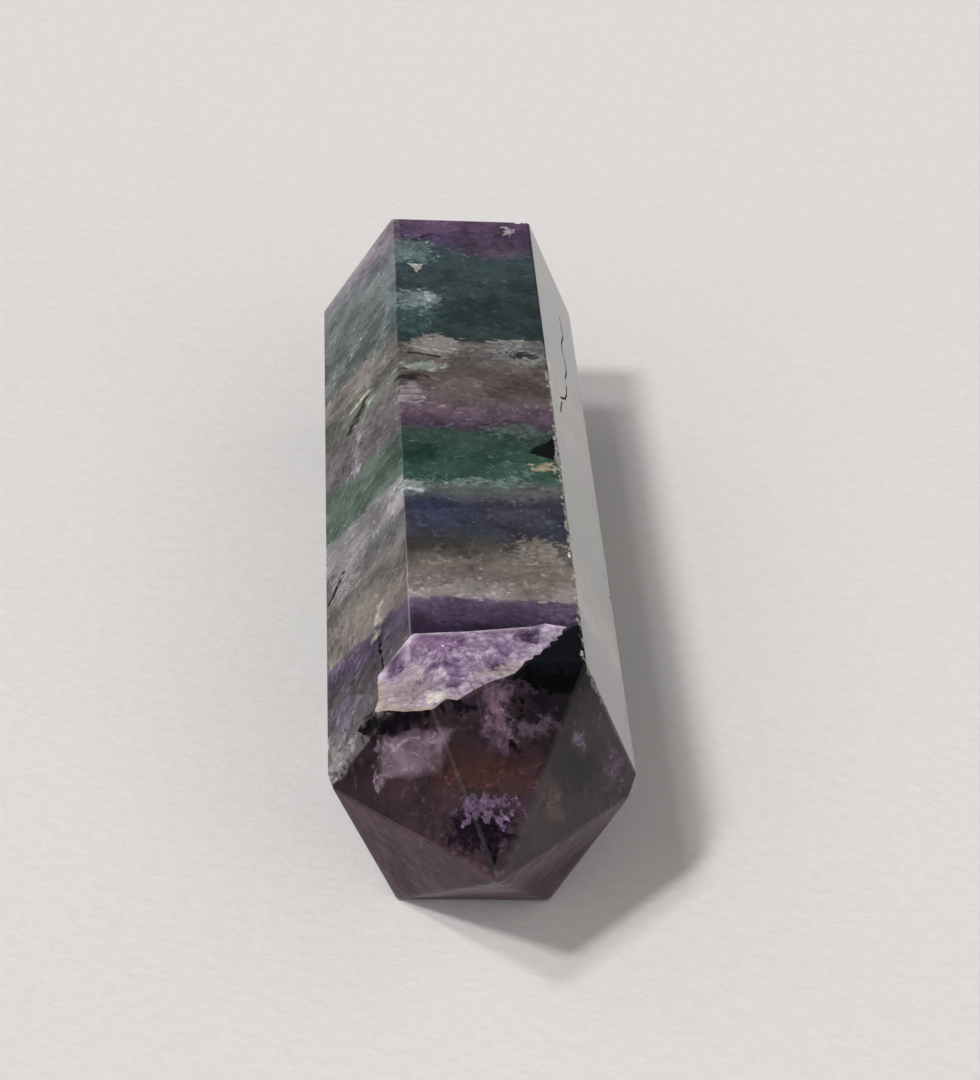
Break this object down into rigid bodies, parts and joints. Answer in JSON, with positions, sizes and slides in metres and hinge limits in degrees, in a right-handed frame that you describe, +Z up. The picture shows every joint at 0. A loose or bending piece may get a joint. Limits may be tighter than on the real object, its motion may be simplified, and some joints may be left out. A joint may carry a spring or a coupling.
{
  "type": "rainbow fluorite point",
  "caption": "Hand-cut, polished six-sided fluorite point lying on a side face, see-through with bands of green, purple and cloudy white across its length and a cleavage chip on one shoulder.",
  "frame": {"origin": "bottom face's plane, under the centre of the bounding box", "axes": "+Y along the crystal's long axis, from the pointed end to the sawn base; +Z up, away from the side face it lies on"},
  "size_m": [0.0194, 0.0799, 0.017],
  "materials": {
    "fluorite": "polished, see-through, with cloudy bands and one broken patch"
  },
  "bodies": {
    "root": {"crystal": "fluorite"}
  },
  "joints": []
}
